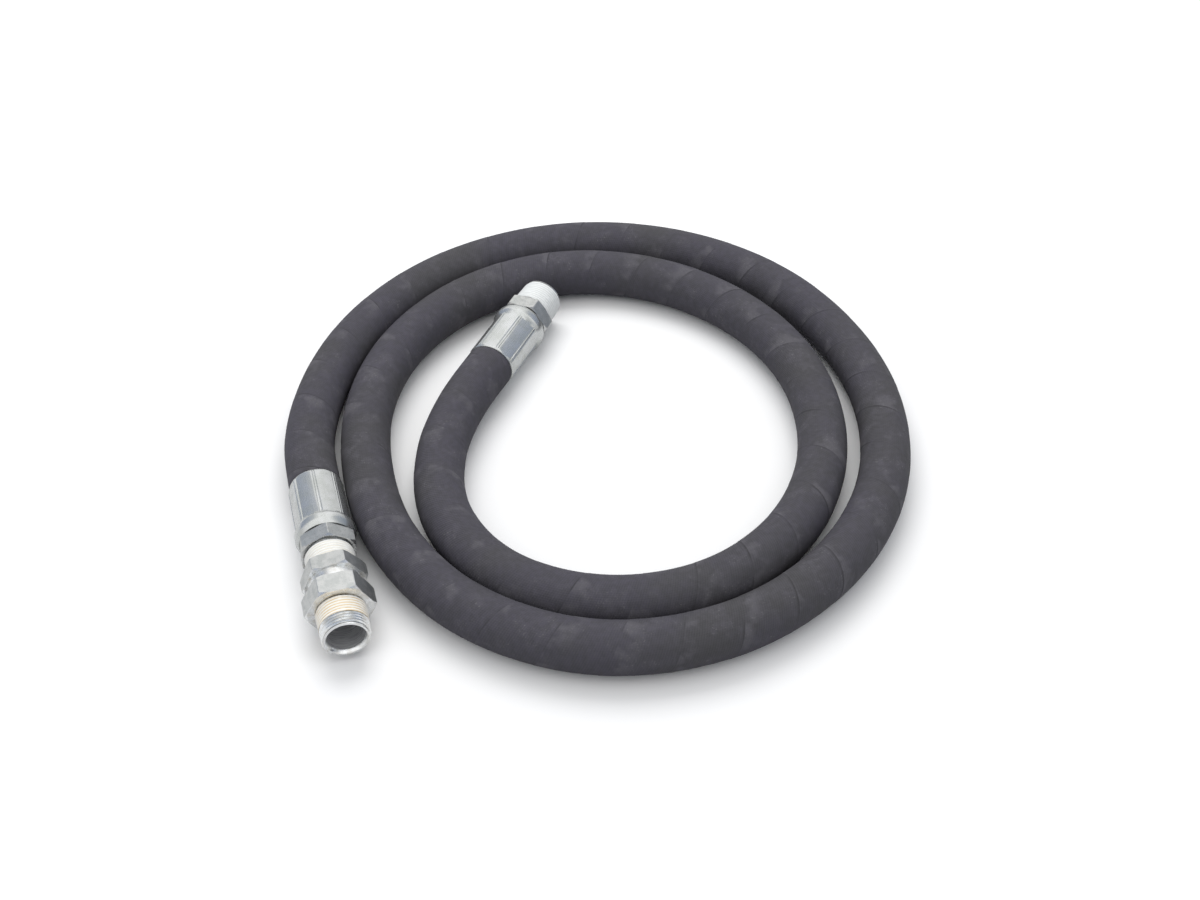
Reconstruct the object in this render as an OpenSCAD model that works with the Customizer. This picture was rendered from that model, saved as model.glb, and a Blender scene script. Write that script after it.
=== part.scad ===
// Hydraulic hose assembly: a one inch hose of about two and a half metres, lying
// in two flat turns, with a crimped male insert on each end. A swivel coupling
// (nut, retaining wire and adapter) is screwed on one of them.
// Millimetres. +Z is up, z = 0 is the surface that the coil lies on, and the
// origin is the middle of the coil's eye. The swivel end points along -Y.

/* [Hose] */
// Outside diameter of the hose
hose_od = 35.6; // [35:0.1:35.8]
// Bore of the hose
hose_id = 25.4; // [25:0.1:25.8]
// Wall of the rubber inner tube
tube_wall = 2; // [1.6:0.1:2.4]
// Thickness of the braided wire layer
braid_wall = 1; // [0.8:0.1:1.2]
// Sides of the swept hose layers
hose_sides = 12; // [8:1:12]

/* [Ferrules] */
// Length of a ferrule
ferrule_l = 53; // [52:0.5:53.5]
// Outside diameter between the crimp ridges
crimp_d = 36.8; // [36.4:0.1:37.4]
// Outside diameter over the crimp ridges
ridge_d = 37.8; // [37.4:0.1:38.4]
// Width of a crimp ridge
ridge_w = 2.2; // [1.4:0.1:3]
// Number of crimping dies, and so of ridges
die_count = 8; // [6:1:12]
// Outside diameter of the uncrimped collar
collar_d = 41; // [40:0.1:41]
// Bore of the crimped stretch
ferrule_bore_d = 32.9; // [32.9:0.1:33.3]

/* [Inserts] */
// Diameter of the bore through an insert
insert_bore_d = 21; // [19:0.5:22]
// Diameter over the barbs of the tail
barb_d = 25.7; // [25.5:0.1:25.8]
// Depth of the grooves between the barbs
barb_depth = 0.7; // [0.3:0.1:1]
// Width across the flats of the insert's hexagon
insert_af = 35.5; // [34:0.5:36]

/* [Threads] */
// Crest diameter of the one inch pipe thread
thread_d = 33.3; // [33.2:0.05:33.4]
// Thickness of the sealing tape over the crests
tape_t = 0.15; // [0.1:0.01:0.2]

/* [Swivel coupling] */
// Width across the flats of the nut
nut_af = 38.5; // [37:0.5:40]
// Outside diameter of the nut's round collar
nut_collar_d = 36; // [35:0.5:37]
// Width across the flats of the adapter's hexagon
adapter_af = 41; // [40:0.5:41]
// Bore of the adapter's threaded end
adapter_bore_d = 24; // [22:0.5:25]
// Diameter of the adapter's spigot inside the nut
spigot_d = 29; // [28:0.5:29.5]
// Diameter of the retaining wire
wire_d = 2.4; // [2:0.1:2.6]
// Radial clearance of the turning fits
running_gap = 0.07; // [0.03:0.01:0.1]

/* [Hidden] */

hose_r = hose_od / 2;
tube_r = hose_id / 2 + tube_wall;
braid_r = tube_r + braid_wall;
// Corner radii of the layers where the ferrule squeezes them, from the bore out
squeezed = [13.4, 14.5, 15.2, ferrule_bore_d / 2];

// Stations along a fitting, measured outwards from the rim that the hose enters
hose_end_s = 46;      // cut end of the hose, against the ferrule's lip
tail_s = 3;           // nose of the insert's tail
insert_hex_s = 54.5;
insert_thread_s = 66;
insert_end_s = 91;
nut_s = 81.5;
nut_collar_s = 93;
wire_s = 97.2;
nut_end_s = 101;
adapter_hex_s = 101.5;
adapter_thread_s = 117;
adapter_end_s = 141;

// Directions that the two fittings point in, in degrees from +X towards +Y
swivel_az = -90;
free_az = 51;

// Middle of the hose from the swivel end's ferrule to the free end's, clockwise
// seen from above. Each point is [x, y, height of the hose above where it lies].
route = [
    [-210, -14, 2.7], [-208, 32, 1.6], [-196, 76, 0.3],
    [-143, 160, 0], [-68, 209, 0], [23, 221, 0], [110, 190, 0], [172, 125, 0],
    [200, 42, 0], [197, -42, 0], [164, -120, 0], [103, -179, 0], [22, -209, 0],
    [-65, -198, 0], [-132, -147, 0], [-167, -74, 0],
    [-172, 0, 0], [-157, 70, 0], [-118, 132, 0], [-56, 174, 0], [19, 183, 0],
    [88, 153, 0], [135, 98, 0], [156, 33, 0], [153, -33, 0], [129, -94, 0],
    [83, -144, 0], [18, -171, 0], [-53, -162, 0], [-106, -121, 0], [-128, -61, 0],
    [-119, 0, 0.2], [-94, 47, 1.5], [-65, 83, 2.7],
];
// Segments shorter than this take one ring, and longer ones take two
short_segment = 62;

function unit(v) = v / norm(v);
function heading(az) = [cos(az), sin(az), 0];
function laid(p) = [p[0], p[1], p[2] + hose_r];
function inside(rim, az, s) = rim + s * heading(az);

middle = [for (p = route) laid(p)];
last_point = len(middle) - 1;
swivel_rim = middle[0];
free_rim = middle[last_point];

// Direction of the hose at its point i: straight out of a ferrule, and between
// the two chords at any other point
function course(i) =
    i == 0 ? -heading(swivel_az) :
    i == last_point ? heading(free_az) :
    let (a = middle[i] - middle[i - 1], b = middle[i + 1] - middle[i])
        unit(a * norm(b) / norm(a) + b * norm(a) / norm(b));

// Point of the hose at the share u of the way from its point i to the next
function way(i, u) =
    let (b = middle[i], c = middle[i + 1], l = norm(c - b), v = 1 - u)
        v * v * (1 + 2 * u) * b + u * u * (3 - 2 * u) * c
        + u * v * l * (v * course(i) - u * course(i + 1));

curve = [
    for (i = [0 : last_point - 1])
        let (steps = norm(middle[i + 1] - middle[i]) < short_segment ? 1 : 2)
            for (k = [0 : steps - 1]) way(i, k / steps)
];

// Each ring of the swept layers is [middle, whether the ferrule squeezes it]
rings = concat(
    [[inside(swivel_rim, swivel_az, hose_end_s), true],
     [inside(swivel_rim, swivel_az, 0.5), true],
     [inside(swivel_rim, swivel_az, -3), false]],
    [for (i = [1 : len(curve) - 1]) [curve[i], false]],
    [[inside(free_rim, free_az, -3), false],
     [inside(free_rim, free_az, 0.5), true],
     [inside(free_rim, free_az, hose_end_s), true]]);

// Direction of the hose at ring i
function along(i) = unit(rings[min(i + 1, len(rings) - 1)][0] - rings[max(i - 1, 0)][0]);

// Corners of ring i at radius r, counted from the side of the hose
function corners(i, r) =
    let (t = along(i), side = unit(cross([0, 0, 1], t)), up = cross(t, side))
        [for (k = [0 : hose_sides - 1])
            let (a = 360 * k / hose_sides)
                rings[i][0] + r * (cos(a) * side + sin(a) * up)];

// Two triangles of the strip between corners a, b of one ring and c, d of the next
function strip(a, b, c, d) = [[a, b, d], [a, d, c]];

// A layer of the hose: a tube swept through the rings. free and tight are its
// [inner, outer] radii outside the ferrules and inside them.
module hose_layer(free, tight) {
    n = hose_sides;
    last = len(rings) - 1;
    points = [for (i = [0 : last], side = [1, 0])
                  each corners(i, rings[i][1] ? tight[side] : free[side])];
    walls = [for (i = [0 : last - 1], k = [0 : n - 1])
                 let (o = 2 * n * i, m = (k + 1) % n)
                     each concat(
                         strip(o + m, o + k, o + m + 2 * n, o + k + 2 * n),
                         strip(o + n + k, o + n + m, o + 3 * n + k, o + 3 * n + m))];
    ends = [for (k = [0 : n - 1])
                let (m = (k + 1) % n, o = 2 * n * last)
                    each concat(strip(k, m, n + k, n + m),
                                strip(o + m, o + k, o + n + m, o + n + k))];
    polyhedron(points, concat(walls, ends), convexity = 10);
}

module hose_cover()
    color([0.30, 0.28, 0.32])
        hose_layer([braid_r, hose_r], [squeezed[2], squeezed[3]]);

module hose_wire_braid()
    color([0.62, 0.60, 0.55])
        hose_layer([tube_r, braid_r], [squeezed[1], squeezed[2]]);

module hose_inner_tube()
    color([0.12, 0.12, 0.13])
        hose_layer([hose_id / 2, tube_r], [squeezed[0], squeezed[1]]);

// Puts a fitting drawn along +Z, with its rim at z = 0, at one end of the hose.
// The fitting's +Y becomes up.
module at_swivel_end() translate(swivel_rim) rotate([90, 0, swivel_az + 90]) children();
module at_free_end() translate(free_rim) rotate([90, 0, free_az + 90]) children();

// Hexagonal prism from z = s0 to s1, with its corners turned off at both ends
module hexagon(af, s0, s1, phase = 0) {
    corner_r = af / 2 / cos(30);
    turned_r = af / 2 + 0.35 * (corner_r - af / 2);
    clear_r = corner_r + 1;
    slope = 1.8;
    rise = (clear_r - turned_r) / slope;
    intersection() {
        translate([0, 0, s0]) rotate(phase) cylinder(r = corner_r, h = s1 - s0, $fn = 6);
        rotate_extrude($fn = 96)
            polygon([[0, s0 - 1], [turned_r - slope, s0 - 1], [clear_r, s0 + rise],
                     [clear_r, s1 - rise], [turned_r - slope, s1 + 1], [0, s1 + 1]]);
    }
}

// Crimped shell: squeezed on the hose, with an uncrimped collar and an inner lip
// that locks in the insert's groove. phase turns the crimp ridges about the axis.
module ferrule(phase) {
    crimp_r = crimp_d / 2;
    bore_r = ferrule_bore_d / 2;
    collar_r = collar_d / 2;
    lip_r = 13.6;
    relief_r = bore_r + 0.5;
    crimp_end = 42;
    difference() {
        union() {
            rotate_extrude($fn = 96)
                polygon([[bore_r, 0], [crimp_r - 0.3, 0], [crimp_r, 0.8],
                         [crimp_r, crimp_end], [collar_r, crimp_end + 3.5],
                         [collar_r, ferrule_l - 3], [collar_r - 1.8, ferrule_l],
                         [lip_r, ferrule_l], [lip_r, hose_end_s + 2.5],
                         [bore_r, hose_end_s + 2.5]]);
            for (i = [0 : die_count - 1])
                rotate(phase + 360 / die_count * i)
                    translate([bore_r + 0.6, -ridge_w / 2, 1])
                        cube([ridge_d / 2 - bore_r - 0.6, ridge_w, crimp_end]);
        }
        // Grooves that the cover swells into
        for (s = [12, 22, 32])
            translate([0, 0, s]) cylinder(r = relief_r, h = 4, $fn = 96);
    }
}

// Insert: barbed tail in the hose, lock groove, hexagon and male pipe thread
module insert(phase) {
    tail_r = barb_d / 2;
    groove_r = tail_r - barb_depth;
    bore_r = insert_bore_d / 2;
    crest_r = thread_d / 2;
    neck_r = 13.3;
    mouth_r = 13.2;
    mouth_depth = (mouth_r - bore_r) / tan(30);
    difference() {
        union() {
            rotate_extrude($fn = 96)
                polygon(concat(
                    [[bore_r - 1, tail_s], [bore_r + 1, tail_s], [tail_r, tail_s + 2]],
                    [for (s = [9 : 7 : 37], step = [[0, tail_r], [0.8, groove_r], [4, tail_r]])
                        [step[1], s + step[0]]],
                    [[tail_r, hose_end_s + 1], [neck_r, hose_end_s + 1.4],
                     [neck_r, insert_hex_s + 0.5], [bore_r - 1, insert_hex_s + 0.5]]));
            hexagon(insert_af, insert_hex_s, insert_thread_s, phase);
            translate([0, 0, insert_thread_s - 1])
                cylinder(r = crest_r - 1.4, h = 3, $fn = 96);
            rotate_extrude($fn = 96)
                polygon([[bore_r - 1, insert_thread_s + 1], [crest_r - 1.4, insert_thread_s + 1],
                         [crest_r, insert_thread_s + 1.6], [crest_r, insert_end_s - 1.2],
                         [crest_r - 1.2, insert_end_s], [bore_r - 1, insert_end_s]]);
        }
        translate([0, 0, tail_s - 1])
            cylinder(r = bore_r, h = insert_end_s, $fn = 96);
        translate([0, 0, insert_end_s - mouth_depth])
            cylinder(r1 = bore_r, r2 = mouth_r, h = mouth_depth, $fn = 96);
        translate([0, 0, insert_end_s]) cylinder(r = mouth_r, h = 1, $fn = 96);
    }
}

// Sealing tape wound on the crests of a thread
module tape(s0, s1)
    rotate_extrude($fn = 96)
        translate([thread_d / 2, s0]) square([tape_t, s1 - s0]);

module swivel_end_ferrule() color([0.78, 0.79, 0.80]) at_swivel_end() ferrule(0);

module swivel_end_insert() color([0.74, 0.75, 0.77]) at_swivel_end() insert(25);

module swivel_end_thread_tape()
    color([0.93, 0.92, 0.87]) at_swivel_end() tape(insert_thread_s + 1.8, nut_s - 0.6);

module free_end_ferrule() color([0.78, 0.79, 0.80]) at_free_end() ferrule(17);

module free_end_insert() color([0.74, 0.75, 0.77]) at_free_end() insert(-3);

module free_end_thread_tape()
    color([0.93, 0.92, 0.87]) at_free_end() tape(insert_thread_s + 1.8, insert_end_s - 2.5);

// Swivel nut: threaded bore on the insert, round collar over the adapter's spigot
module swivel_nut()
    color([0.76, 0.77, 0.78]) at_swivel_end()
        difference() {
            union() {
                hexagon(nut_af, nut_s, nut_collar_s, 7);
                rotate_extrude($fn = 96)
                    polygon([[spigot_d / 2 - 2, nut_collar_s - 0.5],
                             [nut_collar_d / 2, nut_collar_s - 0.5],
                             [nut_collar_d / 2, nut_end_s - 1.2],
                             [nut_collar_d / 2 - 1.2, nut_end_s],
                             [spigot_d / 2 - 2, nut_end_s]]);
            }
            translate([0, 0, nut_s - 1])
                cylinder(r = thread_d / 2 + running_gap, h = nut_collar_s + 1.2 - nut_s, $fn = 96);
            translate([0, 0, nut_collar_s - 1])
                cylinder(r = spigot_d / 2 + running_gap, h = nut_end_s - nut_collar_s + 2, $fn = 96);
            wire_groove();
        }

// Wire ring, half in the nut and half in the spigot, that lets the two turn
// against each other and holds them together
module nut_retaining_wire()
    color([0.70, 0.71, 0.73]) at_swivel_end()
        translate([0, 0, wire_s]) rotate_extrude($fn = 96)
            translate([spigot_d / 2, 0]) circle(r = wire_d / 2, $fn = 32);

// Groove that the wire runs in
module wire_groove() {
    side_gap = 0.1;
    half = wire_d / 2 + side_gap;
    translate([0, 0, wire_s - half]) difference() {
        cylinder(r = spigot_d / 2 + half, h = 2 * half, $fn = 96);
        translate([0, 0, -1]) cylinder(r = spigot_d / 2 - half, h = 2 * half + 2, $fn = 96);
    }
}

// Adapter: cone-nosed spigot in the nut, hexagon, and a male pipe thread outside
module adapter_body() {
    bore_r = adapter_bore_d / 2;
    nose_bore_r = 9.2;
    nose_s = 87.6;
    nose_r = 10.7;
    seat_s = 91.6;
    seat_r = 13;
    spigot_s = 93.6;
    spigot_r = spigot_d / 2;
    crest_r = thread_d / 2;
    mouth_r = bore_r + 1.3;
    bore_s = 106;
    color([0.76, 0.77, 0.78]) at_swivel_end()
        difference() {
            union() {
                rotate_extrude($fn = 96)
                    polygon([[nose_bore_r - 1, nose_s], [nose_r, nose_s], [seat_r, seat_s],
                             [spigot_r, spigot_s], [spigot_r, adapter_hex_s + 0.5],
                             [nose_bore_r - 1, adapter_hex_s + 0.5]]);
                hexagon(adapter_af, adapter_hex_s, adapter_thread_s);
                rotate_extrude($fn = 96)
                    polygon([[nose_bore_r - 1, adapter_thread_s - 1], [crest_r, adapter_thread_s - 1],
                             [crest_r, adapter_end_s - 1.2], [crest_r - 1.2, adapter_end_s],
                             [nose_bore_r - 1, adapter_end_s]]);
            }
            wire_groove();
            translate([0, 0, nose_s - 1])
                cylinder(r = nose_bore_r, h = bore_s + 2 - nose_s, $fn = 96);
            translate([0, 0, bore_s])
                cylinder(r = bore_r, h = adapter_end_s + 1 - bore_s, $fn = 96);
            translate([0, 0, adapter_end_s - 2.3])
                cylinder(r1 = bore_r, r2 = mouth_r, h = 2.3, $fn = 96);
            translate([0, 0, adapter_end_s]) cylinder(r = mouth_r, h = 1, $fn = 96);
        }
}

module adapter_thread_tape()
    color([0.90, 0.87, 0.76]) at_swivel_end() tape(adapter_thread_s + 0.6, adapter_end_s - 10);

hose_cover();
hose_wire_braid();
hose_inner_tube();
swivel_end_ferrule();
swivel_end_insert();
swivel_end_thread_tape();
free_end_ferrule();
free_end_insert();
free_end_thread_tape();
swivel_nut();
nut_retaining_wire();
adapter_body();
adapter_thread_tape();
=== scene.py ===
"""Looks of the hydraulic hose assembly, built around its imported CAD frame.

Places on the floor are in metres. Sections of the fittings are in millimetres: s is the
station along a fitting, outwards from the rim that the hose enters, and r is the radius.
"""
import math

import bpy
import numpy as np
from mathutils import Matrix, Vector


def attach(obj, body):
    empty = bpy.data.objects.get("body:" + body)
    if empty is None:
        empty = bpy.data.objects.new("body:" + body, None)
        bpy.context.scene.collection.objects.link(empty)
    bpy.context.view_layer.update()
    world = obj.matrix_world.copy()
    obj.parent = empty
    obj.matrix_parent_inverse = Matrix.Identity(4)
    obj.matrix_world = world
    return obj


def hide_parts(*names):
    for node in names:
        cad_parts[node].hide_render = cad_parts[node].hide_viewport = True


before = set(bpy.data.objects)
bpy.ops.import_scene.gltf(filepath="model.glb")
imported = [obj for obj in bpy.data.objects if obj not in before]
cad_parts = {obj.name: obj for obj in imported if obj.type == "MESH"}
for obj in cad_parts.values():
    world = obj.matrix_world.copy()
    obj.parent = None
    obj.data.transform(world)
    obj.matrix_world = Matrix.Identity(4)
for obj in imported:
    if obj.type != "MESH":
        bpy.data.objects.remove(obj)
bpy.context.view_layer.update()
scene = bpy.context.scene

MM = 0.001
TURN = 2 * math.pi

# Hose
HOSE_R = 17.8
BRAID_R = 15.7
TUBE_R = 14.7
BORE_R = 12.7
SQUEEZED = (13.4, 14.5, 15.2, 16.45)    # the same radii inside a ferrule, bore to cover
GRIPPED = 46.0                          # length of hose inside each ferrule
LAP = 39.0                              # advance of the wrapping tape in one turn
LAP_STEP = 0.12                         # height of the step that a lap leaves
LAP_EDGE = 0.992                        # share of a lap where its step begins
BRAID_LAY = 70.0                        # advance of the braid's wires in one turn
LAYER_STEP = 12.0                       # distance between a layer's rings

# Fittings. The station of a hexagon, a thread or a collar is where it begins
CREST_R = 16.65                         # radius over the crests of the pipe threads
THREAD_PITCH = 2.209
THREAD_DEPTH = 1.77
THREAD_ROWS = [0.02, 0.16, 0.30, 0.46, 0.54, 0.70, 0.84, 0.98]  # places within one pitch
THREAD_FIT = 0.12                       # radial gap between the nut's thread and the insert's
PIPE_TAPER = 1 / 32                     # fall of the radius along a pipe thread
HEX_TURNED = 0.35                       # share of a corner's height left by the cone
HEX_SLOPE = 1.8                         # rise of the cone that turns off a hexagon's corners
EDGE = 0.15                             # width of a broken edge
RUN_GAP = 0.07                          # radial gap between the nut and the spigot
TAPE_LIFT, TAPE_THICK = 0.14, 0.12      # height of sealing tape over the crests, its thickness
TAPE_SAG = 0.62                         # how far it sinks into the thread
INSERT_HEX, INSERT_THREAD, INSERT_END = 54.5, 66.0, 91.0
NUT, NUT_COLLAR, WIRE, NUT_END = 81.5, 93.0, 97.2, 101.0
ADAPTER_HEX, ADAPTER_THREAD, ADAPTER_END = 101.5, 117.0, 141.0
INSERT_AF, NUT_AF, ADAPTER_AF = 35.5, 38.5, 41.0    # widths across the hexagons' flats
INSERT_PHASE = {"swivel": 25, "free": -3}           # angle of a corner of each hexagon
NUT_PHASE, ADAPTER_PHASE = 7, 0
CRIMP_PHASE = {"swivel": 0, "free": 17}             # angle of a crimp ridge
CRIMP_PITCH = 45.0                      # degrees from one crimp ridge to the next
FACET_R, GROOVE_R, SHOULDER_R, RIDGE_R = 18.05, 18.30, 18.62, 18.86
SPIGOT_R = 14.5
WIRE_R = 1.2
WIRE_GROOVE = 1.3                       # half the width of the wire's groove

# Middle of the hose from the swivel end's ferrule to the free end's: x, y and how far
# the hose is lifted off the floor
ROUTE = [
    (-0.210, -0.014, 0.0027), (-0.208, 0.032, 0.0016), (-0.196, 0.076, 0.0003),
    (-0.143, 0.160, 0), (-0.068, 0.209, 0), (0.023, 0.221, 0), (0.110, 0.190, 0),
    (0.172, 0.125, 0), (0.200, 0.042, 0), (0.197, -0.042, 0), (0.164, -0.120, 0),
    (0.103, -0.179, 0), (0.022, -0.209, 0), (-0.065, -0.198, 0), (-0.132, -0.147, 0),
    (-0.167, -0.074, 0), (-0.172, 0.000, 0), (-0.157, 0.070, 0), (-0.118, 0.132, 0),
    (-0.056, 0.174, 0), (0.019, 0.183, 0), (0.088, 0.153, 0), (0.135, 0.098, 0),
    (0.156, 0.033, 0), (0.153, -0.033, 0), (0.129, -0.094, 0), (0.083, -0.144, 0),
    (0.018, -0.171, 0), (-0.053, -0.162, 0), (-0.106, -0.121, 0), (-0.128, -0.061, 0),
    (-0.119, 0.000, 0.0002), (-0.094, 0.047, 0.0015), (-0.065, 0.083, 0.0027),
]
SWIVEL_AZIMUTH, FREE_AZIMUTH = -90.0, 51.0


def heading(azimuth):
    """Level direction at an azimuth in degrees, counted from +X towards +Y."""
    return np.array([math.cos(math.radians(azimuth)), math.sin(math.radians(azimuth)), 0.0])


def unit(v):
    return v / np.linalg.norm(v)


# ---------------------------------------------------------------- camera

def make_camera():
    """Camera at the photograph's angle."""
    eye, target = Vector((-0.22895, -0.8267, 0.7918)), Vector((-0.00485, -0.00749, 0.0))
    data = bpy.data.cameras.new("camera")
    data.sensor_width = 36
    data.lens = 47.97
    data.clip_start = 0.01
    camera = bpy.data.objects.new("camera", data)
    scene.collection.objects.link(camera)
    camera.location = eye
    camera.rotation_euler = (target - eye).to_track_quat("-Z", "Y").to_euler()
    scene.camera = camera


make_camera()


# ---------------------------------------------------------------- solids

class Section:
    """A closed solid built ring by ring round its section, with helical rows where asked.

    angles are the corners of every ring, in degrees. A ring's station s and radius r, in
    millimetres, are each one number, or one for every angle.
    """

    def __init__(self, angles):
        self.angles = np.radians(np.unique(np.round(np.asarray(angles) % 360, 4)))
        self.count = len(self.angles)
        self.points = []                 # [station, radius, number of the angle]
        self.faces = []
        self.skins = []
        self.first = self.last = None

    def _add(self, s, r, which):
        start = len(self.points)
        self.points.extend(zip(s, r, which))
        return np.arange(start, len(self.points))

    def _join(self, low, high, skin):
        for k in range(self.count):
            n = (k + 1) % self.count
            self.faces.append((low[k], low[n], high[n], high[k]))
            self.skins.append(skin)

    def ring(self, s, r, skin=0):
        """Adds one ring and the strip of faces up to it, in material number skin."""
        spread = np.ones(self.count)
        new = self._add(s * spread, r * spread, range(self.count))
        if self.last is None:
            self.first = new
        else:
            self._join(self.last, new, skin)
        self.last = new
        return self

    def rings(self, *pairs, skin=0):
        for s, r in pairs:
            self.ring(s, r, skin)
        return self

    def helix(self, end, radius, shares, pitch, skin=0):
        """Carries the wall on from the last ring to station end, in rows that climb by
        pitch in one turn. shares are the rows' places within one pitch, and
        radius(stations, shares, angles) gives the radii."""
        start = self.points[self.last[0]][0]
        low, high = min(start, end), max(start, end)
        turns = np.arange(math.floor(low / pitch) - 1, math.ceil(high / pitch) + 2)
        columns = np.arange(len(turns) * self.count)
        which = columns % self.count
        climb = self.angles[which] / TURN + turns[columns // self.count]
        s = np.clip(pitch * (climb[:, None] + np.asarray(shares)[None, :]), low, high)
        keys = which[:, None] * 10 ** 9 + np.round((s - low) * 1e5).astype(np.int64)
        _, pick, back = np.unique(keys, return_index=True, return_inverse=True)
        back = back.reshape(keys.shape)
        flat_s = s.ravel()[pick]
        flat_which = np.repeat(which, len(shares))[pick]
        angle = self.angles[flat_which]
        share = np.round(flat_s / pitch - angle / TURN, 7) % 1
        number = self._add(flat_s, radius(flat_s, share, angle), flat_which)
        ends = {low: np.empty(self.count, int), high: np.empty(self.count, int)}
        for station, found in ends.items():
            at = np.nonzero(np.isclose(flat_s, station, atol=1e-6))[0]
            found[flat_which[at]] = number[at]
        number[np.searchsorted(number, ends[start])] = self.last
        ends[start] = self.last
        last_row = len(shares) - 1
        for j in range(len(columns) - self.count):
            for m in range(len(shares)):
                above = (j, m + 1) if m < last_row else (j + self.count, 0)
                beside = (j + 1, m + 1) if m < last_row else (j + 1 + self.count, 0)
                if beside[0] >= len(columns):
                    continue
                corners = [back[j, m], back[j + 1, m], back[beside], back[above]]
                corners = [number[c] for i, c in enumerate(corners) if c != corners[i - 1]]
                if len(set(corners)) > 2:
                    self.faces.append(corners if end > start else corners[::-1])
                    self.skins.append(skin)
        self.last = ends[end]
        return self

    def closed(self):
        """Joins the last ring to the first."""
        self._join(self.last, self.first, 0)
        return self


def made_mesh(name, section, corners, paints, smooth_below, uv=None):
    """Object of a section whose points lie at corners. uv holds the points' own pair."""
    used, back = np.unique(np.concatenate([np.array(f) for f in section.faces]),
                           return_inverse=True)
    counts = [len(f) for f in section.faces]
    starts = np.concatenate([[0], np.cumsum(counts)[:-1]])
    corners = corners[used]
    fans = [(back[a], back[a + i], back[a + i + 1])
            for a, n in zip(starts, counts) for i in range(1, n - 1)]
    a, b, c = (corners[[f[i] for f in fans]] for i in range(3))
    inside_out = np.einsum("ij,ij->i", a, np.cross(b, c)).sum() < 0
    order = np.arange(len(back))
    if inside_out:
        for a0, n in zip(starts, counts):
            order[a0:a0 + n] = order[a0:a0 + n][::-1]
    mesh = bpy.data.meshes.new(name)
    mesh.vertices.add(len(corners))
    mesh.vertices.foreach_set("co", corners.astype(np.float32).ravel())
    mesh.loops.add(len(back))
    mesh.loops.foreach_set("vertex_index", back[order].astype(np.int32))
    mesh.polygons.add(len(counts))
    mesh.polygons.foreach_set("loop_start", starts.astype(np.int32))
    mesh.polygons.foreach_set("loop_total", np.array(counts, np.int32))
    mesh.polygons.foreach_set("material_index", np.array(section.skins, np.int32))
    mesh.update(calc_edges=True)
    if uv is not None:
        pairs = uv[used][back[order]]
        for a0, n in zip(starts, counts):
            turn = pairs[a0:a0 + n, 1]
            turn[turn < turn.max() - 0.5] += 1
        mesh.uv_layers.new(name="wrap").data.foreach_set("uv", pairs.astype(np.float32).ravel())
    mesh.shade_smooth()
    mesh.set_sharp_from_angle(angle=math.radians(smooth_below))
    mesh.validate()
    for paint in paints:
        mesh.materials.append(paint)
    made = bpy.data.objects.new(name, mesh)
    scene.collection.objects.link(made)
    return made


# ---------------------------------------------------------------- materials

class Nodes:
    """Short calls for the nodes of one tree."""

    def __init__(self, tree):
        self.tree = tree

    def node(self, kind, settings=(), **inputs):
        made = self.tree.nodes.new("ShaderNode" + kind)
        for key, value in dict(settings).items():
            setattr(made, key, value)
        for key, value in inputs.items():
            socket = made.inputs[int(key[1:])] if key[1:].isdigit() else made.inputs[key]
            self.feed(socket, value)
        return made

    def feed(self, socket, value):
        if isinstance(value, bpy.types.NodeSocket):
            self.tree.links.new(value, socket)
        else:
            socket.default_value = value

    def math(self, operation, a, b=0.0):
        return self.node("Math", {"operation": operation}, i0=a, i1=b).outputs[0]

    def product(self, *values):
        total = values[0]
        for value in values[1:]:
            total = self.math("MULTIPLY", total, value)
        return total

    def span(self, value, low, high, to_low=0.0, to_high=1.0):
        """value from low..high carried to to_low..to_high, smoothly and no further."""
        return self.node("MapRange", {"interpolation_type": "SMOOTHSTEP"}, i0=value, i1=low,
                         i2=high, i3=to_low, i4=to_high).outputs[0]

    def mix(self, share, a, b):
        """Colour that goes from a to b as share goes from 0 to 1."""
        return self.node("Mix", {"data_type": "RGBA"}, i0=share, i6=a, i7=b).outputs[2]


class Paint(Nodes):
    """A node material round one Principled shader."""

    def __init__(self, name, **constants):
        self.material = bpy.data.materials.new(name)
        self.material.use_nodes = True
        super().__init__(self.material.node_tree)
        self.shader = self.tree.nodes["Principled BSDF"]
        for socket, value in constants.items():
            self.shader.inputs[socket].default_value = value

    def local(self, scale=(1, 1, 1)):
        """Coordinates of the piece itself in millimetres, stretched by scale."""
        here = self.node("TexCoord").outputs["Object"]
        size = tuple(x / MM for x in scale)
        return self.node("VectorMath", {"operation": "MULTIPLY"}, i0=here, i1=size).outputs[0]

    def wrap(self):
        """Station along the hose in metres, and the turn round it."""
        pair = self.node("SeparateXYZ", Vector=self.node("UVMap", {"uv_map": "wrap"}).outputs[0])
        return pair.outputs[0], pair.outputs[1]

    def from_crest(self):
        """Distance from the crest of a fitting's thread, in pitches: 0 to a half."""
        place = self.node("SeparateXYZ", Vector=self.local())
        turn = self.math("DIVIDE", self.math("ARCTAN2", place.outputs[1], place.outputs[0]), TURN)
        share = self.math("FRACT", self.math(
            "SUBTRACT", self.math("DIVIDE", place.outputs[2], THREAD_PITCH), turn))
        return self.math("ABSOLUTE", self.math("SUBTRACT", share, 0.5))

    def noise(self, where, scale, detail=2.0):
        return self.node("TexNoise", Vector=where, Scale=scale, Detail=detail).outputs[0]

    def bump(self, height, distance, strength=1.0, normal=None):
        made = self.node("Bump", Height=height, Distance=distance * MM, Strength=strength)
        if normal is not None:
            self.feed(made.inputs["Normal"], normal)
        return made.outputs["Normal"]

    def finish(self, color, roughness, normal):
        self.feed(self.shader.inputs["Base Color"], color)
        self.feed(self.shader.inputs["Roughness"], roughness)
        self.feed(self.shader.inputs["Normal"], normal)
        return self.material


def grey(level, tint=(1.0, 1.0, 1.0)):
    return (level * tint[0], level * tint[1], level * tint[2], 1.0)


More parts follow.
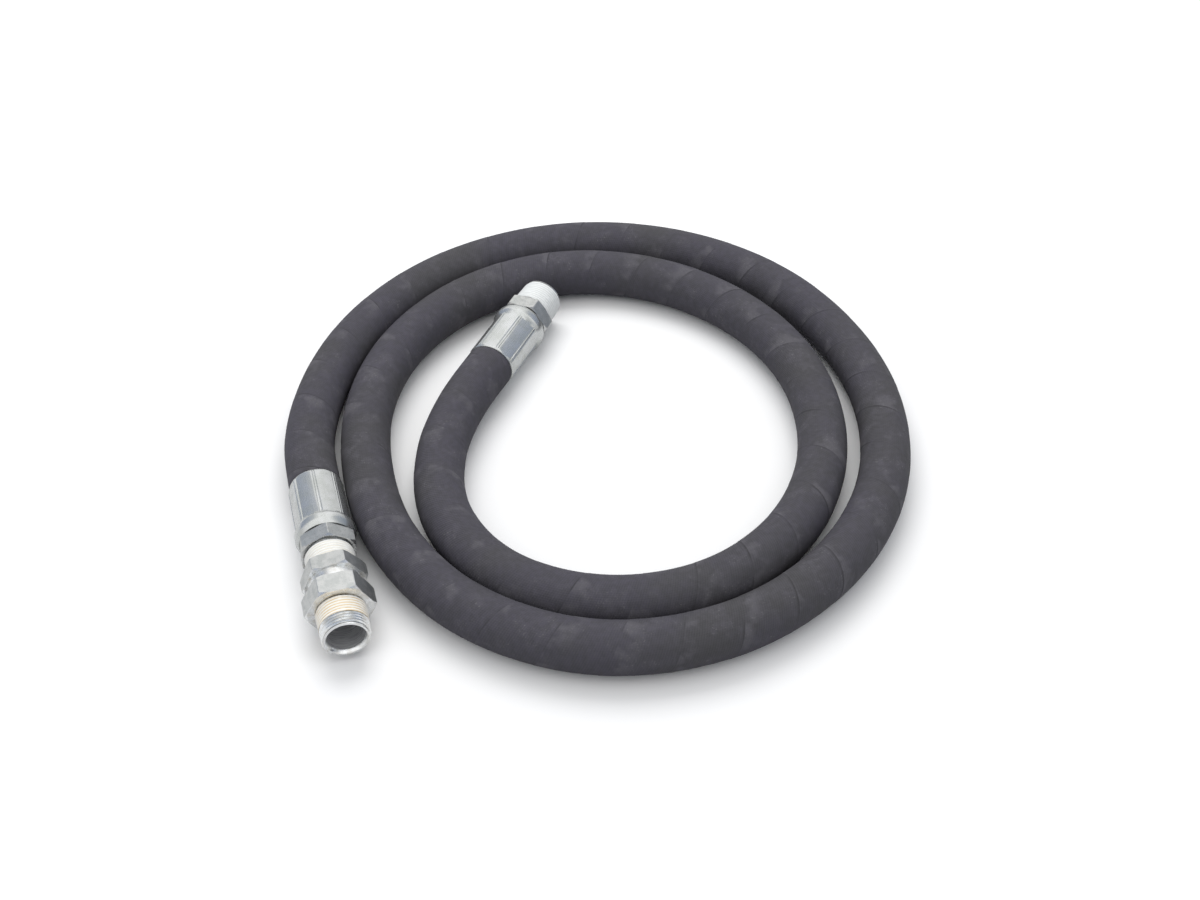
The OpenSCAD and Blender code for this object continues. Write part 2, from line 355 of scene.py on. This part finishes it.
def wrapped_rubber():
    """Matt charcoal rubber with the print of the cloth tape it was cured in."""
    paint = Paint("wrapped_rubber", **{"Specular IOR Level": 0.25})
    along, turn = paint.wrap()
    laps = paint.math("SUBTRACT", paint.math("DIVIDE", along, LAP * MM), turn)
    share = paint.math("FRACT", laps)
    here = paint.local()
    patches = paint.noise(here, 0.014, 4.0)
    cloudy = paint.noise(here, 0.07, 5.0)
    fine = paint.noise(here, 0.45, 3.0)
    color = paint.mix(paint.span(patches, 0.42, 0.68, 0.0, 0.75), grey(0.064, (1.0, 0.94, 1.20)),
                      grey(0.060, (1.02, 0.99, 1.03)))
    color = paint.mix(paint.span(cloudy, 0.42, 0.75, 0.0, 0.55), color,
                      grey(0.098, (1.0, 0.95, 1.12)))
    mottled = paint.noise(paint.local((1.0, 1.0, 0.6)), 0.25, 6.0)
    color = paint.mix(paint.span(mottled, 0.35, 0.65, 0.30, 0.0), color, grey(0.038))
    # The raised edge of each lap is scuffed pale; the foot of the step is darkened as painted
    # shade in its crease
    scuffed = paint.product(paint.span(share, 0.55, 0.93), paint.span(share, 0.97, 0.99, 1.0, 0.0),
                            paint.span(cloudy, 0.45, 0.65), 0.45)
    color = paint.mix(scuffed, color, grey(0.125, (1.0, 0.96, 1.06)))
    threads_along = paint.math("SINE", paint.math("MULTIPLY", laps, TURN * 24))
    threads_round = paint.math("SINE", paint.math("MULTIPLY", turn, TURN * 72))
    weave = paint.math("ADD", paint.math("MULTIPLY", threads_along, 0.7),
                       paint.math("MULTIPLY", threads_round, 0.3))
    color = paint.mix(paint.product(paint.span(weave, -1.0, 1.0), fine, 0.30), color, grey(0.12))
    dust = paint.product(paint.span(paint.noise(here, 0.8, 3.0), 0.58, 0.72),
                         paint.span(cloudy, 0.50, 0.64), 0.50)
    color = paint.mix(dust, color, grey(0.17, (1.0, 0.98, 1.0)))
    # Painted shade: a dark line in the crease at the foot of each lap's step, broken up by noise
    foot_shade = paint.math("ADD", paint.span(share, 0.0, 0.026, 1.0, 0.0),
                      paint.span(share, 0.985, 1.0, 0.0, 1.0))
    broken = paint.span(paint.noise(here, 0.035, 2.0), 0.44, 0.68, 0.0, 0.6)
    color = paint.mix(paint.product(foot_shade, broken), color, grey(0.024))
    rough = paint.span(cloudy, 0.3, 0.7, 0.72, 0.9)
    grain = paint.math("ADD", paint.math("MULTIPLY", weave, 0.35), fine)
    return paint.finish(color, rough, paint.bump(grain, 0.16, 0.7))


def plain_rubber():
    """Smooth black rubber of the inner tube."""
    paint = Paint("tube_rubber", **{"Specular IOR Level": 0.4})
    here = paint.local()
    color = paint.mix(paint.noise(here, 0.15, 3.0), grey(0.018), grey(0.035))
    return paint.finish(color, paint.span(paint.noise(here, 0.4), 0.3, 0.7, 0.45, 0.65),
                        paint.bump(paint.noise(here, 2.5, 2.0), 0.05, 0.4))


def braided_wire():
    """Plated wires that cross in two directions round the hose."""
    paint = Paint("braided_wire", Metallic=1.0)
    station, turn = paint.wrap()
    along = paint.math("DIVIDE", station, BRAID_LAY * MM)
    wires = TURN * 48
    left = paint.math("SINE", paint.math("MULTIPLY", paint.math("ADD", turn, along), wires))
    right = paint.math("SINE", paint.math("MULTIPLY", paint.math("SUBTRACT", turn, along), wires))
    height = paint.math("MAXIMUM", left, right)
    # Painted shade: the wires are darkened where they dip low under the crossing wires
    color = paint.mix(paint.span(height, -0.4, 0.8), grey(0.16), grey(0.62, (1.0, 0.97, 0.90)))
    rough = paint.span(paint.noise(paint.local(), 0.6), 0.3, 0.7, 0.28, 0.42)
    return paint.finish(color, rough, paint.bump(height, 0.2))


def bright_zinc():
    """Smooth bright zinc of a crimped shell, with faint draw marks along it."""
    paint = Paint("bright_zinc", Metallic=0.85)
    here = paint.local()
    drawn = paint.noise(paint.local((1.6, 1.6, 0.04)), 1.0, 3.0)
    clouds = paint.noise(here, 0.12, 3.0)
    color = paint.mix(paint.span(clouds, 0.35, 0.65), grey(0.62, (0.98, 1.0, 1.0)),
                      grey(0.55, (0.97, 1.0, 0.97)))
    color = paint.mix(paint.span(paint.noise(here, 0.9, 3.0), 0.58, 0.75, 0.0, 0.4), color,
                      grey(0.38, (1.0, 0.98, 0.92)))
    rough = paint.math("ADD", paint.span(clouds, 0.3, 0.7, 0.21, 0.29),
                       paint.span(drawn, 0.45, 0.75, 0.0, 0.09))
    return paint.finish(color, rough, paint.bump(drawn, 0.02, 0.5))


def turned_steel(name, level, threaded=False):
    """Plated steel with the fine rings that turning leaves. A thread's roots are darkened with
    painted shade.
    """
    paint = Paint(name, Metallic=1.0)
    here = paint.local()
    cuts = paint.noise(paint.local((0.05, 0.05, 5.0)), 1.0, 2.0)
    clouds = paint.noise(here, 0.25, 3.0)
    color = paint.mix(paint.span(clouds, 0.35, 0.7), grey(level, (0.98, 1.0, 1.01)),
                      grey(level * 0.82, (1.0, 0.99, 0.95)))
    if threaded:
        # Painted shade: the thread's roots are darkened
        color = paint.mix(paint.span(paint.from_crest(), 0.27, 0.39), color,
                          grey(level * 0.14, (1.0, 0.98, 0.94)))
    rough = paint.math("ADD", paint.span(clouds, 0.3, 0.7, 0.2, 0.3),
                       paint.span(cuts, 0.4, 0.7, 0.0, 0.08))
    return paint.finish(color, rough, paint.bump(cuts, 0.03, 0.5))


def bored_steel():
    """Dull grey wall of a drilled bore, with the drill's rings."""
    paint = Paint("bored_steel", Metallic=0.85)
    rings = paint.noise(paint.local((0.08, 0.08, 1.4)), 1.0, 3.0)
    color = paint.mix(paint.span(rings, 0.35, 0.65), grey(0.88), grey(0.62, (0.98, 0.98, 1.0)))
    return paint.finish(color, paint.span(rings, 0.3, 0.7, 0.28, 0.45),
                        paint.bump(rings, 0.08, 0.7))


def bar_flats(name, level, spots):
    """Granular plated face of the hexagonal bar that a fitting was turned from."""
    paint = Paint(name, Metallic=0.92)
    here = paint.local()
    grain = paint.noise(here, 1.8, 4.0)
    clouds = paint.noise(here, 0.22, 3.0)
    color = paint.mix(paint.span(clouds, 0.35, 0.65), grey(level, (0.99, 1.0, 0.98)),
                      grey(level * 0.85, (0.97, 1.0, 0.98)))
    color = paint.mix(paint.span(grain, 0.55, 0.72, 0.0, spots), color,
                      grey(level * 0.42, (1.0, 0.95, 0.88)))
    rough = paint.span(grain, 0.3, 0.7, 0.34, 0.50)
    return paint.finish(color, rough, paint.bump(grain, 0.06, 0.8))


def sealing_tape(name, pale, stain_and_shade):
    """Thin sealing tape whose turns take a darker colour as painted shade where they sink into the
    thread, yellowed there by a stain on some tapes.
    """
    paint = Paint(name, **{"Specular IOR Level": 0.5})
    here = paint.local()
    sunk = paint.span(paint.from_crest(), 0.18, 0.46)
    wound = paint.noise(paint.local((0.10, 0.10, 1.6)), 1.0, 3.0)
    clouds = paint.noise(here, 0.16, 3.0)
    # Painted shade: the tape takes its darker second colour in the thread's valleys
    stain_and_shade_share = paint.product(sunk, paint.span(clouds, 0.30, 0.55, 0.35, 1.0))
    color = paint.mix(stain_and_shade_share, pale, stain_and_shade)
    color = paint.mix(paint.span(wound, 0.55, 0.75, 0.0, 0.3), color, stain_and_shade)
    rough = paint.span(paint.noise(here, 0.8), 0.3, 0.7, 0.28, 0.45)
    return paint.finish(color, rough, paint.bump(wound, 0.10, 0.6))


def spring_wire():
    """Drawn wire with marks along its length."""
    paint = Paint("spring_wire", Metallic=1.0)
    marks = paint.noise(paint.local((0.4, 0.4, 3.0)), 1.0, 2.0)
    color = paint.mix(marks, grey(0.5), grey(0.68))
    return paint.finish(color, paint.span(marks, 0.3, 0.7, 0.25, 0.4), paint.bump(marks, 0.02))


# ---------------------------------------------------------------- hose

def hose_line(step=0.001):
    """Points of the middle of the hose, from one cut end to the other."""
    points = [np.array([x, y, rise + HOSE_R * MM]) for x, y, rise in ROUTE]
    out, back = heading(SWIVEL_AZIMUTH), heading(FREE_AZIMUTH)
    count = len(points)

    def course(i):
        if i in (0, count - 1):
            return back if i else -out
        a, b = points[i] - points[i - 1], points[i + 1] - points[i]
        la, lb = np.linalg.norm(a), np.linalg.norm(b)
        return unit(a * lb / la + b * la / lb)

    line = [points[0] + out * MM * s for s in np.arange(GRIPPED, 0, -1)]
    for i in range(count - 1):
        b, c = points[i], points[i + 1]
        length = np.linalg.norm(c - b)
        for u in np.linspace(0, 1, round(length / step), endpoint=False):
            v = 1 - u
            line.append(v * v * (1 + 2 * u) * b + u * u * (3 - 2 * u) * c
                        + u * v * length * (v * course(i) - u * course(i + 1)))
    line += [points[-1] + back * MM * s for s in np.arange(0, GRIPPED + 1)]
    return np.array(line)


LINE = hose_line()
STATIONS = np.concatenate([[0], np.cumsum(np.linalg.norm(np.diff(LINE, axis=0), axis=1))]) / MM
HOSE_L = STATIONS[-1]


def on_hose(points):
    """Places of [station, radius, angle] points, and their (station, turn) pair."""
    s, r, angle = points.T
    courses = np.gradient(LINE, axis=0)
    middle, course = (np.stack([np.interp(s, STATIONS, side) for side in way.T], 1)
                      for way in (LINE, courses))
    course /= np.linalg.norm(course, axis=1)[:, None]
    side = np.cross(course, [0, 0, 1])
    side /= np.linalg.norm(side, axis=1)[:, None]
    up = np.cross(side, course)
    places = middle + MM * r[:, None] * (np.cos(angle)[:, None] * side
                                         + np.sin(angle)[:, None] * up)
    return places, np.stack([s * MM, angle / TURN], 1)


def layer_stations():
    """Stations of plain rings on a layer: close together where the ferrules squeeze it."""
    middle = np.linspace(GRIPPED + 6, HOSE_L - GRIPPED - 6, round(HOSE_L / LAYER_STEP))
    near = [0, GRIPPED - 1, GRIPPED + 1, GRIPPED + 3]
    return np.concatenate([near, middle, [HOSE_L - s for s in reversed(near)]])


def necked(s, free, tight):
    """Radius of a layer at station s: tight inside a ferrule, free outside."""
    depth = np.minimum(s, HOSE_L - s)
    share = np.clip((depth - (GRIPPED - 0.5)) / 3.5, 0, 1)
    return tight + (free - tight) * (1 - (1 - share) ** 3)


def hose_piece(name, section, paint):
    rows = np.array([(s, r, section.angles[k]) for s, r, k in section.points])
    places, pairs = on_hose(rows)
    return made_mesh(name, section, places, [paint], 60, pairs)


def hose_layer(name, sides, inner, outer, tight, paint):
    """Hollow layer between the radii inner and outer, tight where it is squeezed."""
    section = Section(np.arange(sides) * 360 / sides)
    stations = layer_stations()
    for s in stations:
        section.ring(s, necked(s, outer, tight[1]))
    for s in stations[::-1]:
        section.ring(s, necked(s, inner, tight[0]))
    return hose_piece(name, section.closed(), paint)


def hose_cover():
    """The cover, with the step that each lap of its wrapping tape leaves."""
    sides, wrapped, fade_length = 56, GRIPPED + 4, 20
    section = Section(np.arange(sides) * 360 / sides)
    starts = [0, GRIPPED - 1, GRIPPED - 0.4, GRIPPED + 0.2, GRIPPED + 0.8, GRIPPED + 1.6,
              GRIPPED + 2.6, wrapped]
    section.ring(0, SQUEEZED[2])
    for s in starts:
        section.ring(s, necked(s, HOSE_R, SQUEEZED[3]))

    def lapped(s, share, angle):
        rise = np.clip(share / LAP_EDGE, 0, 1)
        fade = np.clip((np.minimum(s, HOSE_L - s) - wrapped) / fade_length, 0, 1)
        dents = 0.05 * (np.sin(s / 23 + 2 * np.sin(angle)) + np.sin(s / 61 + 3 * angle) - 2)
        return HOSE_R - fade * (LAP_STEP * (1 - rise) - dents)

    rows = np.concatenate([[0, 0.008], np.linspace(0.06, 0.94, 15), [0.984, LAP_EDGE]])
    section.helix(HOSE_L - wrapped, lapped, rows, LAP)
    for s in starts[::-1]:
        section.ring(HOSE_L - s, necked(s, HOSE_R, SQUEEZED[3]))
    for s in layer_stations()[::-1]:
        section.ring(s, necked(s, BRAID_R, SQUEEZED[2]))
    return hose_piece("wrapped_cover", section.closed(), wrapped_rubber())


# ---------------------------------------------------------------- fittings

RIMS = {"swivel": (LINE[0] + MM * GRIPPED * -heading(SWIVEL_AZIMUTH), SWIVEL_AZIMUTH),
        "free": (LINE[-1] + MM * GRIPPED * -heading(FREE_AZIMUTH), FREE_AZIMUTH)}


def at_end(end):
    """Matrix that puts a fitting drawn along +Z, with +Y up, at one end of the hose."""
    rim, azimuth = RIMS[end]
    out, up = heading(azimuth), np.array([0.0, 0.0, 1.0])
    side = np.cross(up, out)
    columns = np.column_stack([side, up, out, rim])
    return Matrix(np.vstack([columns, [0, 0, 0, 1]]).tolist())


def fitting_piece(name, section, paints, end, smooth_below=28):
    s, r, k = np.array(section.points).T
    angle = section.angles[k.astype(int)]
    places = MM * np.stack([r * np.cos(angle), r * np.sin(angle), s], 1)
    piece = made_mesh(name, section.closed(), places, paints, smooth_below)
    piece.matrix_world = at_end(end)
    return piece


def hex_angles(phase):
    """Ring corners that meet a hexagon's corners and the edges of their rounding."""
    offsets = [0, 0.6, *np.arange(4, 57, 4), 59.4]
    return [phase + 60 * k + o for k in range(6) for o in offsets]


def hexagon(section, low, high, across, phase):
    """Hexagonal stretch of bar, its corners turned off by a cone at both ends."""
    corner = across / 2 / math.cos(math.radians(30))
    away = np.degrees(section.angles) - phase
    flat = across / 2 / np.cos(np.radians(away % 60 - 30))
    flat = np.minimum(flat, corner - EDGE)
    turned = across / 2 + HEX_TURNED * (corner - across / 2)
    cut = np.maximum(flat - turned, 0) / HEX_SLOPE + EDGE
    face = np.minimum(flat, turned) - EDGE
    section.ring(low, face)
    section.ring(low + cut, flat)
    section.ring(high - cut, flat, skin=1)
    section.ring(high, face)


def valley(share):
    """Depth within a thread, from 0 on its crests to 1 in its roots."""
    return np.clip((np.abs(share - 0.5) - 0.05) / 0.40, 0, 1)


def pipe_crest(s, start):
    """Crest radius of a pipe thread that tapers from station start."""
    return CREST_R - np.maximum(s - start - 2, 0) * PIPE_TAPER


def male_thread(section, start, end, relief, tip):
    """Outside pipe thread from start to end, chamfered down to relief and tip, in skin 2."""
    def radius(s, share, angle):
        cut = pipe_crest(s, start) - THREAD_DEPTH * valley(share)
        return np.minimum(cut, np.minimum(relief + 1.6 * (s - start), tip + 1.1 * (end - s)))
    section.helix(end, radius, THREAD_ROWS, THREAD_PITCH, skin=2)


def crimp_angles(phase):
    offsets = [0, 1.0, 1.6, 2.0, 2.6, 3.4, 4.6, 7, 10, 13, 16, 19]
    near = offsets + [CRIMP_PITCH - o for o in offsets[1:]] + [CRIMP_PITCH / 2]
    return [phase + turn + o for turn in np.arange(0, 360, CRIMP_PITCH) for o in near]


def crimped(angles, phase):
    """Radius round the crimped stretch: eight nearly flat facets, and between each two
    the narrow ridge that is squeezed up in the gap of the dies."""
    half = CRIMP_PITCH / 2
    away = np.abs((np.degrees(angles) - phase + half) % CRIMP_PITCH - half)
    facet = FACET_R + 5.5 * np.radians(half - away) ** 2
    groove = np.interp(away, [1.6, 2.6, 4.6], [RIDGE_R, GROOVE_R, SHOULDER_R])
    return np.where(away < 4.6, np.minimum(groove, RIDGE_R), facet)


def ferrule(end):
    """Crimped shell with its uncrimped collar, its lip and the grooves inside it."""
    section = Section(crimp_angles(CRIMP_PHASE[end]))
    dies = crimped(section.angles, CRIMP_PHASE[end])
    grip, lip = SQUEEZED[3], 13.6
    section.rings((0.0, grip), (0.0, 17.6), (0.35, 17.98))
    section.ring(1.1, np.minimum(dies, 18.3))
    section.ring(2.4, dies)
    section.ring(40.6, dies)
    section.ring(42.2, np.minimum(dies + 0.25, RIDGE_R))
    section.rings((43.0, 19.1), (44.6, 20.15), (45.3, 20.42), (46.2, 20.5), (49.4, 20.5),
                  (50.3, 20.3), (52.8, 19.0), (53.7, 18.4), (53.7, lip), (48.5, lip),
                  (48.5, grip))
    for s in (32, 22, 12):
        section.rings((s + 4, grip), (s + 4, grip + 0.5), (s, grip + 0.5), (s, grip))
    return fitting_piece(end + "_crimped_shell", section, [bright_zinc()], end)


def insert(end):
    """Insert with its barbed tail, lock groove, hexagon and pipe thread."""
    bore, tail, groove, neck, mouth, root = 10.5, 12.85, 12.15, 13.3, 13.2, 15.25
    section = Section(hex_angles(INSERT_PHASE[end]))
    section.rings((3, bore), (3, bore + 1), (5, tail))
    for s in range(9, 38, 7):
        section.rings((s, tail), (s + 0.8, groove), (s + 4, tail))
    section.rings((47, tail), (47.4, neck), (INSERT_HEX, neck))
    hexagon(section, INSERT_HEX, INSERT_THREAD, INSERT_AF, INSERT_PHASE[end])
    section.rings((INSERT_THREAD, root), (INSERT_THREAD + 1, root))
    male_thread(section, INSERT_THREAD + 1, INSERT_END - 0.4, root, 15.2)
    section.rings((INSERT_END, 14.9), (INSERT_END, mouth + 0.2), (INSERT_END - 0.2, mouth),
                  (INSERT_END - 4.6, bore))
    steel = turned_steel(end + "_insert_steel", 0.64)
    flats = bar_flats(end + "_insert_flats", 0.60, 0.75)
    thread = turned_steel(end + "_insert_thread", 0.64, threaded=True)
    return fitting_piece(end + "_barbed_insert", section, [steel, flats, thread], end)


def tape(name, end, start, stop, thread_start, paint):
    """Sealing tape that sags a little into the thread under it, with uneven edges."""
    section = Section(np.arange(0, 360, 3.75))

    def outside(s, share, angle):
        sag = TAPE_SAG * valley(share) * np.clip((stop - s) / 2, 0.3, 1)
        folds = 0.03 * np.sin(5 * angle + s) * valley(share)
        return pipe_crest(s, thread_start) + TAPE_LIFT - sag + folds

    def inside(s, share, angle):
        return outside(s, share, angle) - TAPE_THICK

    def edge(s, side):
        spread = np.full(section.count, s)
        section.ring(s, side(spread, np.zeros(section.count), section.angles))

    edge(start, inside)
    edge(start, outside)
    section.helix(stop, outside, THREAD_ROWS, THREAD_PITCH)
    edge(stop, inside)
    section.helix(start, inside, THREAD_ROWS, THREAD_PITCH)
    return fitting_piece(name, section, [paint], end, 40)


def nut():
    """Hexagonal nut with its round collar, its thread and the groove for the wire."""
    bore = pipe_crest(NUT, INSERT_THREAD + 1) + THREAD_FIT
    section = Section(hex_angles(NUT_PHASE))
    hexagon(section, NUT, NUT_COLLAR, NUT_AF, NUT_PHASE)
    spigot, half, thread_end = SPIGOT_R + RUN_GAP, WIRE_GROOVE, 16.6
    section.rings((NUT_COLLAR, 17.7), (NUT_COLLAR + 0.3, 18.0), (NUT_END - 1.2, 18.0),
                  (NUT_END - 0.3, 17.1), (NUT_END, 16.8), (NUT_END, spigot + 0.2),
                  (NUT_END - 0.2, spigot), (WIRE + half, spigot),
                  (WIRE + half, SPIGOT_R + half), (WIRE - half, SPIGOT_R + half),
                  (WIRE - half, spigot), (NUT_COLLAR + 0.2, spigot),
                  (NUT_COLLAR + 0.2, thread_end))

    def inside(s, share, angle):
        crest = pipe_crest(s, INSERT_THREAD + 1) + THREAD_FIT
        thread = crest - THREAD_DEPTH * valley(share)
        return np.maximum(thread, np.maximum(thread_end - 1.2 * (NUT_COLLAR - s),
                                             bore - 1.2 * (s - NUT)))

    section.helix(NUT, inside, THREAD_ROWS, THREAD_PITCH)
    steel = turned_steel("nut_steel", 0.88)
    return fitting_piece("union_nut", section, [steel, bar_flats("nut_flats", 0.60, 0.35)],
                         "swivel")


def retaining_wire():
    """Wire ring, half in the nut and half in the spigot."""
    section = Section(np.arange(0, 360, 4))
    for a in np.radians(np.arange(0, 360, 20)):
        section.ring(WIRE + WIRE_R * math.sin(a), SPIGOT_R + WIRE_R * math.cos(a))
    return fitting_piece("wire_ring", section, [spring_wire()], "swivel")


def adapter():
    """Adapter with its cone-nosed spigot, hexagon, outer thread and open bore."""
    nose_bore, bore, mouth, root, half = 9.2, 12.0, 13.3, 15.6, WIRE_GROOVE
    step = 106.0                         # station where the bore narrows
    section = Section(hex_angles(ADAPTER_PHASE))
    section.rings((87.6, nose_bore), (87.6, 10.5), (87.8, 10.75), (91.6, 13.0),
                  (93.6, SPIGOT_R), (WIRE - half, SPIGOT_R), (WIRE - half, SPIGOT_R - half),
                  (WIRE + half, SPIGOT_R - half), (WIRE + half, SPIGOT_R),
                  (ADAPTER_HEX, SPIGOT_R))
    hexagon(section, ADAPTER_HEX, ADAPTER_THREAD, ADAPTER_AF, ADAPTER_PHASE)
    section.ring(ADAPTER_THREAD, root)
    male_thread(section, ADAPTER_THREAD, ADAPTER_END - 0.4, root, 15.15)
    section.rings((ADAPTER_END, 14.8), (ADAPTER_END, mouth + 0.2), (ADAPTER_END - 0.2, mouth),
                  (ADAPTER_END - 2.4, bore + 0.1), (ADAPTER_END - 2.8, bore))
    section.rings((step, bore), (step, nose_bore), skin=3)
    # The adapter's thread is painted lighter than its other turned faces, a painted highlight on
    # its crests
    paints = [turned_steel("adapter_steel", 0.86), bar_flats("adapter_flats", 0.64, 0.4),
              turned_steel("adapter_thread", 0.94, threaded=True), bored_steel()]
    return fitting_piece("male_adapter", section, paints, "swivel")


# ---------------------------------------------------------------- the pieces

def belongs(piece, body, slot, *nodes):
    """piece rides on body and stands for the CAD nodes. slot is not used."""
    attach(piece, body)
    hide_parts(*nodes)
    return piece


WHITE = grey(0.86, (1.0, 1.0, 0.97))
COOL_WHITE = grey(0.80, (0.98, 1.0, 1.0))
# Second colours of the tapes, taken in the thread's valleys: darker as painted shade, the ivory
# and amber ones also yellowed by stain
GREY_WHITE_SHADE = grey(0.62, (0.97, 1.0, 0.97))
IVORY_STAIN_AND_SHADE = grey(0.76, (1.0, 0.95, 0.84))
CREAM = grey(0.90, (1.0, 0.98, 0.92))
AMBER_STAIN_AND_SHADE = grey(0.70, (1.0, 0.76, 0.42))
cover = belongs(hose_cover(), "hose", "hose_cover", "hose_cover")
belongs(hose_layer("woven_braid", 40, TUBE_R, BRAID_R, SQUEEZED[1:3], braided_wire()),
        "hose", "braid_wire", "hose_wire_braid")
belongs(hose_layer("rubber_tube", 40, BORE_R, TUBE_R, SQUEEZED[0:2], plain_rubber()),
        "hose", "inner_tube", "hose_inner_tube")
belongs(ferrule("swivel"), "hose", "ferrule_steel", "swivel_end_ferrule")
belongs(insert("swivel"), "hose", "insert_steel", "swivel_end_insert")
belongs(tape("swivel_tape", "swivel", INSERT_THREAD + 1.8, NUT - 0.6, INSERT_THREAD + 1,
             sealing_tape("white_tape", WHITE, IVORY_STAIN_AND_SHADE)),
        "hose", "white_tape", "swivel_end_thread_tape")
free_pieces = [
    belongs(ferrule("free"), "hose", "ferrule_steel", "free_end_ferrule"),
    belongs(insert("free"), "hose", "insert_steel", "free_end_insert"),
    belongs(tape("free_tape", "free", INSERT_THREAD + 1.8, INSERT_END - 2.5,
                 INSERT_THREAD + 1, sealing_tape("clean_tape", COOL_WHITE, GREY_WHITE_SHADE)),
            "hose", "white_tape", "free_end_thread_tape"),
]
belongs(nut(), "nut", "coupling_steel", "swivel_nut")
belongs(retaining_wire(), "retaining_wire", "spring_wire", "nut_retaining_wire")
belongs(adapter(), "adapter", "coupling_steel", "adapter_body")
belongs(tape("adapter_tape", "swivel", ADAPTER_THREAD + 0.6, ADAPTER_END - 10,
             ADAPTER_THREAD, sealing_tape("stained_shaded_tape", CREAM, AMBER_STAIN_AND_SHADE)),
        "adapter", "cream_tape", "adapter_thread_tape")


# ---------------------------------------------------------------- floor and light

FLOOR_BOUNCE = 0.48             # share of the light that the floor throws back up at the hose
FLOOR_IN_STEEL = 0.70           # level of the floor as the bright metal mirrors it
ROOM_LEVELS = (0.80, 1.30)      # level of the room near the floor, and overhead
COOL = (0.76, 0.90, 1.18)       # tint of the darker sides


def make_floor():
    size = 6.0
    mesh = bpy.data.meshes.new("floor")
    mesh.from_pydata([(x * size, y * size, 0) for x, y in ((-1, -1), (1, -1), (1, 1), (-1, 1))],
                     [], [(0, 1, 2, 3)])
    floor = bpy.data.objects.new("floor", mesh)
    scene.collection.objects.link(floor)
    paint = Paint("pale_floor", **{"Specular IOR Level": 0.1})
    clouds = paint.noise(paint.local(), 0.01, 2.0)
    pale = paint.mix(clouds, grey(0.88), grey(0.91))
    rays = paint.node("LightPath").outputs
    color = paint.mix(rays["Is Diffuse Ray"], pale, grey(FLOOR_BOUNCE))
    color = paint.mix(rays["Is Glossy Ray"], color, grey(FLOOR_IN_STEEL))
    mesh.materials.append(paint.finish(color, 0.9, paint.bump(clouds, 0.01, 0.1)))


# The darker sides, right, back left and front: the direction of each, the cosines where it
# begins and is full, and the share of the room's level that it keeps
DARK_SIDES = [((0.87, 0.17, 0.46), 0.78, 0.95, 0.44), ((-0.66, 0.58, 0.42), 0.80, 0.95, 0.46),
              ((-0.10, -0.92, 0.36), 0.62, 0.92, 0.58)]


def make_studio():
    """A pale room with a bright ceiling and three darker sides, and one soft lamp."""
    world = bpy.data.worlds.new("studio")
    world.use_nodes = True
    scene.world = world
    nodes = Nodes(world.node_tree)
    direction = nodes.node("TexCoord").outputs["Generated"]
    height = nodes.node("SeparateXYZ", Vector=direction).outputs[2]
    level = nodes.span(height, 0.15, 0.75, *ROOM_LEVELS)
    for side, begins, full, dark in DARK_SIDES:
        near = nodes.node("VectorMath", {"operation": "DOT_PRODUCT"}, i0=direction,
                          i1=unit(np.array(side))).outputs["Value"]
        level = nodes.product(level, nodes.span(near, begins, full, 1.0, dark))
    # The backdrop itself is plain: the dark sides are only for the light on the object
    seen = nodes.node("LightPath").outputs["Is Camera Ray"]
    level = nodes.node("Mix", i0=seen, i2=level, i3=1.0).outputs[0]
    backdrop = nodes.tree.nodes["Background"]
    nodes.feed(backdrop.inputs["Color"],
               nodes.mix(nodes.span(level, 0.3, 0.8), grey(1.0, COOL), grey(1.0)))
    nodes.feed(backdrop.inputs["Strength"], level)
    lamp = bpy.data.lights.new("softbox", "AREA")
    lamp.shape = "RECTANGLE"
    lamp.size, lamp.size_y = 1.6, 1.0
    lamp.energy = 16
    box = bpy.data.objects.new("softbox", lamp)
    box.location = (0.1, 1.0, 1.7)
    box.rotation_euler = (Vector((0, 0, 0)) - box.location).to_track_quat("-Z", "Y").to_euler()
    box.visible_glossy = False
    scene.collection.objects.link(box)
    scene.view_settings.view_transform = "Standard"


make_floor()
make_studio()
